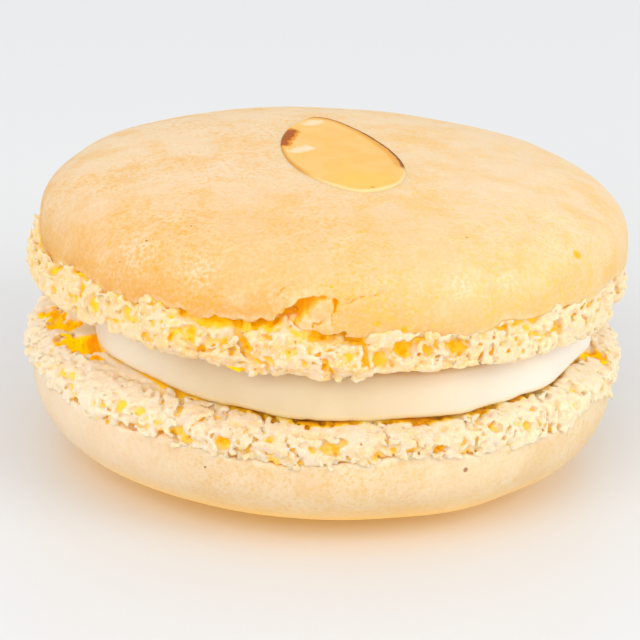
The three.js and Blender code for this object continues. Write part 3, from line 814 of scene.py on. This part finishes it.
def crumb_material(name, tones):
    """Pale crumb, golden in its hollows, caves and slits, partly its own colour and partly painted
    shade, painted yellower and lighter at both sides as painted light, and given a painted glow.
    """
    made, wire = material(name)
    place = wire.node("TexCoord", output="Object")
    side = part_of(wire, place, "X")
    # Both sides are painted yellower and lighter as painted light, with less gold in the hollows at the
    # right.
    right = between(wire, 0.006, 0.02, side)
    left = between(wire, -0.004, -0.019, side)
    painted_light_sides = wire.math("MAXIMUM", right, 0.9 * left)
    drift = texture(wire, place, 900, 4, 0.7) - 0.5
    depth = stored(wire, "hollow") + 0.25 * drift - 0.07 * right
    near = stored(wire, "painted_slit_shade") + 0.5 * drift
    # The caves are painted darker gold as painted shade.
    pit_shade = between(wire, 0.15, 0.5, stored(wire, "painted_cave_shade") + 0.3 * drift)
    deep = layers(wire, tones["deep"],
                  (spots(wire, place, 1700, 0.45, 0.62), tones["dark"]),
                  (painted_light_sides, tint(238, 192, 28)))
    pit_shade_colour = mix(wire, spots(wire, place, 600, 0.46, 0.62), tones["pit_shade"], tones["dark"])
    colour = layers(
        wire, tones["crumb"],
        (spots(wire, place, 700, 0.38, 0.62), tones["crumb_tint"]),
        (0.8 * right, tones["right_crumb_painted_light"]),
        (0.7 * left, tones["left_crumb_painted_light"]),
        (0.7 * spots(wire, place, 3600, 0.5, 0.62), tones["fleck"]),
        # Golden pits, partly the crumb's own colour and partly painted shade, darker gold in the deepest
        # hollows.
        (between(wire, 0.45, 0.62, depth), tones["gold"]),
        (between(wire, 0.57, 0.78, depth), deep),
        (pit_shade, pit_shade_colour),
        # Painted shade in the slits under the cream, darker the deeper the slit and at the left.
        (between(wire, 0.12, 0.4, near), tones["gold"]),
        (between(wire, 0.3, 0.6, near), tones["deep"]),
        (between(wire, 0.6, 1.0, near), mix(wire, left, tint(218, 146, 5), tones["deep"])))
    # A painted glow over the whole crumb, stronger at both sides, in the hollows, in the slits at the
    # left and in the caves.
    painted_glow = layers(
        wire, tint(58, 46, 24),
        (painted_light_sides, tint(104, 90, 66)),
        (between(wire, 0.45, 0.7, depth), mix(wire, painted_light_sides, tones["painted_glow"], tint(248, 210, 44))),
        (left * between(wire, 0.3, 0.6, near), tones["painted_glow"]),
        (pit_shade, pit_shade_colour))
    meringue(wire, place, colour, painted_glow, 0.75, 0.1, 2400, 0.0003)
    return made


# Tones of both shells. The side, freckle, right and left crumb and glow tones are painted light; deep,
# dark and pit are partly painted shade; crown is partly painted sheen above and painted bounce light
# under the lower shell.
UPPER_TONES = dict(
    crown=(231, 202, 163), shoulder=(226, 166, 78), painted_lit_side=(232, 194, 130), warm=(230, 178, 96),
    bloom=(238, 216, 180), freckle=(232, 168, 58), painted_lit_freckle=(236, 192, 96), flake=(234, 188, 132),
    crumb=(236, 208, 172), crumb_tint=(236, 194, 124), right_crumb_painted_light=(238, 214, 172),
    left_crumb_painted_light=(236, 208, 160), fleck=(238, 216, 196), gold=(236, 190, 60), deep=(231, 171, 0),
    dark=(217, 151, 0), pit_shade=(240, 190, 0), painted_glow=(230, 174, 0))
LOWER_TONES = dict(
    crown=(228, 195, 148), shoulder=(231, 206, 168), painted_lit_side=(234, 212, 172), warm=(226, 184, 130),
    bloom=(238, 220, 194), freckle=(226, 186, 122), painted_lit_freckle=(228, 196, 136),
    crumb=(230, 208, 180), crumb_tint=(230, 202, 154), right_crumb_painted_light=(238, 220, 186),
    left_crumb_painted_light=(240, 224, 198), fleck=(234, 216, 196), gold=(236, 202, 116), deep=(232, 180, 24),
    dark=(218, 148, 5), pit_shade=(242, 192, 0), painted_glow=(222, 168, 10))

for which, node, shell, placing, seen, crust, foot in (
    ("upper", "shell_top", UPPER, upper_place, UPPER_TONES, upper_crust, upper_foot),
    ("lower", "shell_bottom", LOWER, lower_place, LOWER_TONES, lower_crust, lower_foot),
):
    tones = {name: tint(*levels) for name, levels in seen.items()}
    crust.data.materials.append(crust_material(which + "_crust", shell, placing, tones))
    foot.data.materials.append(crumb_material(which + "_crumb", tones))
    for piece in (crust, foot):
        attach(piece, "root")
        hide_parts(node)


# The cream. A disc of soft buttercream, piped on the lower shell and pressed out by the upper one
# into a smooth, slightly swollen side. Its lower edge bridges the hollows of the torn foot.
CREAM_BULGE = 0.45
CREAM_GAP = 0.3
CREAM_ROWS = 44
CREAM_ROUND = 720
CREAM_RIPPLE = 0.05
LOWER_ROUND = (0.1, 0.35)  # the share of the height that the rounding of each edge takes, its size
UPPER_ROUND = (0.15, 0.45)
SLIT_HEIGHT = 0.16  # as a share of the height


def rings_mesh(name, start, rings, end):
    """A closed mesh over rings of points, drawn together at both ends."""
    count = rings.shape[1]
    points = np.concatenate([rings.reshape(-1, 3), [start, end]])
    here = np.arange(count)
    after = np.roll(here, -1)
    last = count * (len(rings) - 1)
    quads = np.concatenate([
        np.stack([low + here, low + after, low + count + after, low + count + here], 1)
        for low in range(0, last, count)])
    first_end, last_end = (np.full(count, last + count + end_point) for end_point in (0, 1))
    triangles = np.concatenate([quads[:, (0, 1, 2)], quads[:, (0, 2, 3)],
                                np.stack([after, here, first_end], 1),
                                np.stack([last + here, last + after, last_end], 1)])
    return mesh_from(name, points, triangles)


def unevenness(points, cell, seed):
    """A smooth random height for each point, from about -1 to 1."""
    return np.array([noise.noise(Vector(point) / cell + Vector((seed, 0, 0))) for point in points])


angle = np.linspace(0, 2 * math.pi, CREAM_ROUND, endpoint=False)
around = np.stack([np.sin(angle), -np.cos(angle)], 1)
oval = cream_edge(np.degrees(angle))
outline = np.insert(oval[:, None] * around + (CREAM_CENTRE, 0), 2, 0, axis=1)
slits = slit_depth(np.degrees(np.arctan2(outline[:, 0], -outline[:, 1])))
slits = slits * (0.8 + 0.6 * unevenness(outline, 1, 5))
side_rows = [(share, 0) for share in np.linspace(0, 1, CREAM_ROWS)]
rings = []
shares = []
for share, inward in [(0, 9), (0, 3), *side_rows, (1, 3), (1, 9)]:
    swell = CREAM_BULGE * math.sin(math.pi * share**0.85) + CREAM_FLARE * (1 - share) ** 2
    edges = LOWER_ROUND[1] * max(0, 1 - share / LOWER_ROUND[0]) ** 2
    edges += UPPER_ROUND[1] * max(0, 1 - (1 - share) / UPPER_ROUND[0]) ** 2
    tuck = slits * max(0, 1 - share / SLIT_HEIGHT) ** 1.5
    radius = oval + swell - edges - tuck - inward
    x = CREAM_CENTRE + radius * around[:, 0]
    y = radius * around[:, 1]
    roof = CREAM_THICKNESS - y * math.tan(LEAN) - x * math.tan(ROLL) - CREAM_GAP
    rings.append(np.stack([x, y, share * roof], 1))
    shares.append(np.full(CREAM_ROUND, share))
rings = np.array(rings)
ripple = unevenness(rings.reshape(-1, 3), 3.0, 8).reshape(len(rings), -1)
rings[..., :2] += CREAM_RIPPLE * ripple[..., None] * around
top = CREAM_THICKNESS - CREAM_CENTRE * math.tan(ROLL) - CREAM_GAP
cream_mesh = rings_mesh("cream", (CREAM_CENTRE, 0, 0), rings, (CREAM_CENTRE, 0, top))
add_values(cream_mesh, "share", [*np.concatenate(shares), 0, 1])
cream_mesh.transform(Matrix.Translation((0, 0, flat_side * MM)) @ Matrix.Scale(MM, 4))
cream_mesh.shade_smooth()
cream = place_object("cream_disc", cream_mesh)

made, wire = material("buttercream")
place = wire.node("TexCoord", output="Object")
side = part_of(wire, place, "X")
share = stored(wire, "share")
# The cream is painted lighter at both sides as painted light, golden at its lower edge as painted bounce
# light from the shell, and golden at its top as painted shade under the upper foot.
colour = layers(
    wire, tint(222, 200, 164),
    (between(wire, 0.35, 0.65, texture(wire, place, 160, 2)), tint(214, 192, 152)),
    (between(wire, 0.003, 0.02, side), tint(240, 232, 219)),
    (between(wire, -0.007, -0.018, side), tint(240, 230, 212)),
    (0.6 * (1 - between(wire, 0.0, 0.22, share)), tint(244, 204, 124)),
    (0.3 * between(wire, 0.6, 1.0, share), tint(230, 186, 120)))
grain = texture(wire, place, 1400, 3)
bump = wire.node("Bump", None, {"Strength": 0.15, "Distance": 0.1 * MM, "Height": grain})
surface(wire, {
    "Base Color": colour, "Roughness": 0.45, "Normal": bump, "Subsurface Weight": 0.7,
    "Subsurface Radius": (1.0, 0.7, 0.35), "Subsurface Scale": 0.002})
cream_mesh.materials.append(made)
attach(cream, "root")
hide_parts("filling")


# The almond slice. A thin slice cut along a whole almond, laid on the soft piped round and baked
# into its crown. A rim of brown skin is left round its far side, and some at its left.
ALMOND_CENTRE = (0.37, 0.8)
ALMOND_LENGTH = 21.4
ALMOND_SIDES = {-1: (4.6, 1.4, 0.09), 1: (4.75, 1.0, 0.3)}  # width, pointedness and taper
ALMOND_THICKNESS = 1.15
ALMOND_TURN = math.radians(10.9)
ALMOND_PITCH = math.radians(-0.1)
ALMOND_STAND = 0.07
ALMOND_SOFT = 0.16
ALMOND_ROUND = 420
INSETS = [4.0, 3.4, *np.linspace(3.0, 0.6, 13), 0.5, 0.4, 0.3, 0.22, 0.15, 0.1, 0.05, 0.02, 0]
SKIN_PATCH = [(-4.3, 2.4), (-4.15, 4.4), (-3.7, 6.2)]  # places on the crust, as x and y
SKIN_DOT = (3.3, -8.8)
# Painted highlights, as paths of x and y on the slice
PAINTED_HIGHLIGHT_STREAKS = [[(-2.1, 8.8), (-1.5, 9.8)], [(-3.0, 0.4), (-2.2, 1.4)]]
YELLOW_END = (2.6, -7.0)


def almond_ring(inset, height):
    """The outline of the slice, drawn in by the inset: fuller on its right, pointed at both ends."""
    ring = []
    for step in range(ALMOND_ROUND):
        angle = 2 * math.pi * step / ALMOND_ROUND
        along, across = -math.cos(angle), math.sin(angle)
        width, power, taper = ALMOND_SIDES[1 if across > 0 else -1]
        across = math.copysign(abs(across) ** power, across) * (1 - taper * along)
        ring.append((across * (width - inset), along * (ALMOND_LENGTH / 2 - inset), height))
    return ring


half = ALMOND_THICKNESS / 2
rings = [almond_ring(inset, half - ALMOND_SOFT * max(0, 1 - inset / ALMOND_SOFT) ** 2.5)
         for inset in INSETS]
rings += [almond_ring(0, 0.1), almond_ring(0, 0), almond_ring(0, 0.1 - half), almond_ring(0.1, -half)]
rings = np.array(rings)[::-1]
flat = rings.reshape(-1, 3)
height = 0.04 * unevenness(flat, 2.2, 3) + 0.015 * unevenness(flat, 0.6, 9)
rings = (flat + height[:, None] * (0, 0, 1)).reshape(rings.shape)
almond_mesh = rings_mesh("almond", (0, 0, -half), rings, (0, 0, half))
off_middle = np.hypot(ALMOND_CENTRE[0] - UPPER["crust_shift"], ALMOND_CENTRE[1])
crown = (1 - (off_middle / UPPER["crust_radius"]) ** UPPER["roundness"]) ** (1 / UPPER["fullness"])
crown = UPPER["crust_base"] + UPPER["dome_height"] * crown
crown += UPPER["crown_rise"] * (1 - (off_middle / UPPER["crown_radius"]) ** 2)
seat = Matrix.Translation((*ALMOND_CENTRE, crown + ALMOND_STAND - half))
seat = seat @ Matrix.Rotation(ALMOND_PITCH, 4, "X") @ Matrix.Rotation(ALMOND_TURN, 4, "Z")
almond_mesh.transform(seat)

points = np.array([point.co for point in almond_mesh.vertices])
x, y, _ = points.T
rim = np.array([*np.array([*INSETS, 0, 0, 0, 0])[::-1].repeat(ALMOND_ROUND), 9, 9])
turned = np.degrees(np.arctan2(x - ALMOND_CENTRE[0], y - ALMOND_CENTRE[1]))
skin = smooth(-18, -8, turned) * smooth(128, 118, turned) * smooth(0.9, 0.7, rim)
near_rim = smooth(0.35, 0.05, rim) * (smooth(122, 135, turned) + smooth(-165, -175, turned))
patch = line_distance(SKIN_PATCH, x, y) + 0.35 * unevenness(points, 0.6, 2)
dot = np.hypot(x - SKIN_DOT[0], y - SKIN_DOT[1])
# Pale streaks painted as highlights, and a paler band by the rim near both ends.
pale = np.min([line_distance(path, x, y) for path in PAINTED_HIGHLIGHT_STREAKS], axis=0)
pale = smooth(0.9, 0.3, pale + 0.4 * unevenness(points, 0.6, 4))
yellow = np.hypot(x - YELLOW_END[0], y - YELLOW_END[1])
almond_values = dict(
    skin=skin,
    thin_skin=skin * smooth(0.42, 0.25, rim + 0.1 * unevenness(points, 0.7, 6)),
    patch=smooth(1.1, 0.75, patch) + smooth(0.7, 0.3, patch) + 0.9 * smooth(0.35, 0.1, dot),
    tan=smooth(0.45, 0.1, rim) * smooth(-170, -150, turned) * smooth(-50, -70, turned),
    pale=np.maximum(pale, 0.6 * near_rim),
    yellow=smooth(4.5, 1.0, yellow))
for name, values in almond_values.items():
    add_values(almond_mesh, name, values)
almond_mesh.transform(upper_place)
almond_mesh.shade_smooth()
almond = place_object("almond_sliver", almond_mesh)

made, wire = material("almond")
place = wire.node("TexCoord", output="Object")
drift = texture(wire, place, 500, 3)
patch = stored(wire, "patch")
colour = layers(
    wire, tint(236, 190, 112),
    (between(wire, 0.35, 0.65, drift), tint(236, 184, 96)),
    (0.65 * stored(wire, "yellow"), tint(238, 192, 80)),
    # painted highlights and the paler rim
    (0.8 * stored(wire, "pale"), tint(240, 218, 184)),
    (0.8 * stored(wire, "tan"), tint(212, 142, 50)),
    (between(wire, 0.2, 1, patch), tint(224, 138, 0)),
    (between(wire, 1.0, 1.9, patch), tint(165, 80, 0)),
    (0.75 * stored(wire, "skin"), tint(222, 150, 40)),
    (stored(wire, "thin_skin"), tint(140, 70, 0)))
bump = wire.node("Bump", None, {"Strength": 0.2, "Distance": 0.1 * MM, "Height": drift})
surface(wire, {
    "Base Color": colour, "Roughness": 0.55, "Normal": bump, "Specular IOR Level": 0.15,
    "Subsurface Weight": 0.2, "Subsurface Radius": (1.0, 0.6, 0.25), "Subsurface Scale": 0.001})
almond_mesh.materials.append(made)
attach(almond, "root")
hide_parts("almond_slice")


# The floor and the light. A plain pale floor under soft daylight from all round, with one large
# lamp to the right of the front and another to the left of it.
FLOOR_HALF = 3
LAMPS = (("key", (0.5, -0.3, 0.34), 0.4, 1.6), ("fill", (-0.25, -0.52, 0.34), 0.5, 1.95))
LAMP_AIM = Vector((0, 0, 0.012))
DAYLIGHT = 0.88

floor_mesh = bpy.data.meshes.new("floor")
corners = [(FLOOR_HALF * x, FLOOR_HALF * y, 0) for x, y in ((-1, -1), (1, -1), (1, 1), (-1, 1))]
floor_mesh.from_pydata(corners, [], [(0, 1, 2, 3)])
floor = place_object("floor", floor_mesh)
made, wire = material("floor")
surface(wire, {"Base Color": tint(222, 223, 224), "Roughness": 0.35, "Specular IOR Level": 0.25})
floor_mesh.materials.append(made)

world = bpy.data.worlds.new("studio")
world.use_nodes = True
world.node_tree.nodes["Background"].inputs["Color"].default_value = (1, 1, 1, 1)
world.node_tree.nodes["Background"].inputs["Strength"].default_value = DAYLIGHT
bpy.context.scene.world = world

for name, place, size, power in LAMPS:
    lamp = bpy.data.lights.new(name, "AREA")
    lamp.size = size
    lamp.energy = power
    made = place_object(name, lamp)
    made.location = place
    made.rotation_euler = (LAMP_AIM - Vector(place)).to_track_quat("-Z", "Y").to_euler()

bpy.context.scene.view_settings.view_transform = "Standard"
